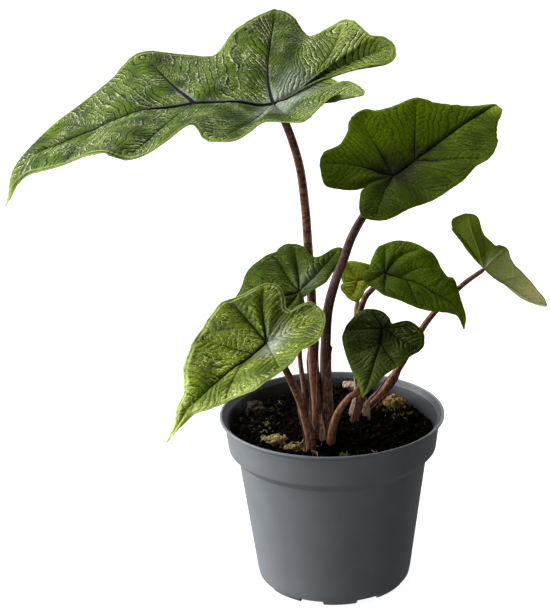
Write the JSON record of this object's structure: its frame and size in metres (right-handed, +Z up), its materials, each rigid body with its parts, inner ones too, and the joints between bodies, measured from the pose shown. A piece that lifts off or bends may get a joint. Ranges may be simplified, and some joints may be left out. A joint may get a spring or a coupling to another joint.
{
  "type": "potted alocasia plant",
  "caption": "House plant with quilted, arrow-shaped leaves on slender brown stalks, rooted in soil in a round grey nursery pot that stands on its own base.",
  "frame": {"origin": "centre of the pot's flat base disc, on the surface the pot stands on", "axes": "+Z up along the pot's axis, -Y towards the viewer of the picture, +X to the viewer's right"},
  "size_m": [0.2868, 0.187, 0.3041],
  "materials": {
    "pot": "matte grey moulded polypropylene",
    "soil": "dark crumbly potting mix",
    "bark": "rough dry bark and dry moss",
    "leaf_bright": "satin living leaf, quilted between dark veins",
    "leaf_dark": "satin living leaf, darker green",
    "stalk": "mottled brown-purple leaf stalk",
    "stalk_pale": "pale yellow-green leaf stalk",
    "husk": "dry papery sheath"
  },
  "bodies": {
    "root": {"leaf_1": "leaf_bright", "leaf_2": "leaf_dark", "leaf_3": "leaf_bright", "leaf_4": "leaf_dark", "leaf_5": "leaf_dark", "leaf_6": "leaf_dark", "leaf_7": "leaf_dark", "leaf_8": "leaf_dark", "petiole_1": "stalk", "petiole_2": "stalk", "petiole_3": "stalk", "petiole_4": "stalk", "petiole_5": "stalk", "petiole_6": "stalk", "petiole_7": "stalk", "petiole_8": "stalk_pale", "dry_sheath_1": "husk", "dry_sheath_2": "husk", "bark_1": "bark", "bark_2": "bark", "bark_3": "bark", "bark_4": "bark", "bark_5": "bark", "soil": "soil", "nursery_pot": "pot"}
  },
  "joints": []
}
